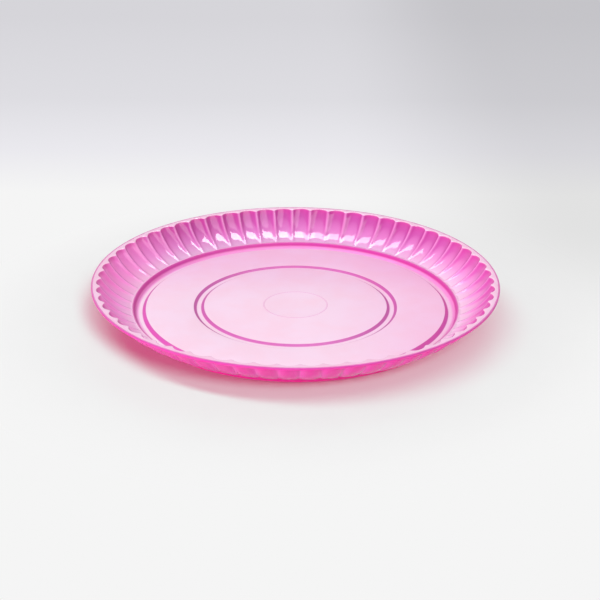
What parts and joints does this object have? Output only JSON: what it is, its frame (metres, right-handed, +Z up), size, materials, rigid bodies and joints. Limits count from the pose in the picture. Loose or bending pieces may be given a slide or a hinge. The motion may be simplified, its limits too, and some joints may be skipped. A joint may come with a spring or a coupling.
{
  "type": "cake turntable",
  "caption": "Low round cake turntable: a shallow fluted plastic plate with a flat flange and ringed floor, turning on a hidden roller ring and a base disc on rubber feet.",
  "frame": {"origin": "on the axis of rotation, on the surface that the feet stand on", "axes": "+Z up along the axis of rotation; +X and +Y in the plane of the surface, and one of the ridges between the flutes 1.3 degrees from +X towards +Y"},
  "size_m": [0.305, 0.305, 0.0305],
  "materials": {
    "plate_plastic": "glossy translucent pink moulding",
    "base_plastic": "satin moulding",
    "bearing_plastic": "smooth natural acetal",
    "steel": "plated",
    "foot_rubber": "matt"
  },
  "bodies": {
    "base": {"turntable_base": "base_plastic", "rubber_foot_1": "foot_rubber", "rubber_foot_2": "foot_rubber", "rubber_foot_3": "foot_rubber", "rubber_foot_4": "foot_rubber"},
    "plate": {"cake_plate": "plate_plastic", "retaining_washer": "steel", "pivot_screw": "steel"},
    "roller_ring": {"roller_cage": "bearing_plastic", "roller_01": "bearing_plastic", "roller_02": "bearing_plastic", "roller_03": "bearing_plastic", "roller_04": "bearing_plastic", "roller_05": "bearing_plastic", "roller_06": "bearing_plastic", "roller_07": "bearing_plastic", "roller_08": "bearing_plastic", "roller_09": "bearing_plastic", "roller_10": "bearing_plastic", "roller_11": "bearing_plastic", "roller_12": "bearing_plastic"}
  },
  "joints": [
    {"name": "plate_spin", "type": "hinge", "parent": "base", "child": "plate", "pos_m": [0, 0, 0.0063], "axis": [0, 0, 1], "continuous": true},
    {"name": "roller_ring_spin", "type": "hinge", "parent": "base", "child": "roller_ring", "pos_m": [0, 0, 0.0045], "axis": [0, 0, 1], "continuous": true}
  ],
  "couplings": [
    {"joint": "roller_ring_spin", "follows": "plate_spin", "ratio": 0.5}
  ]
}
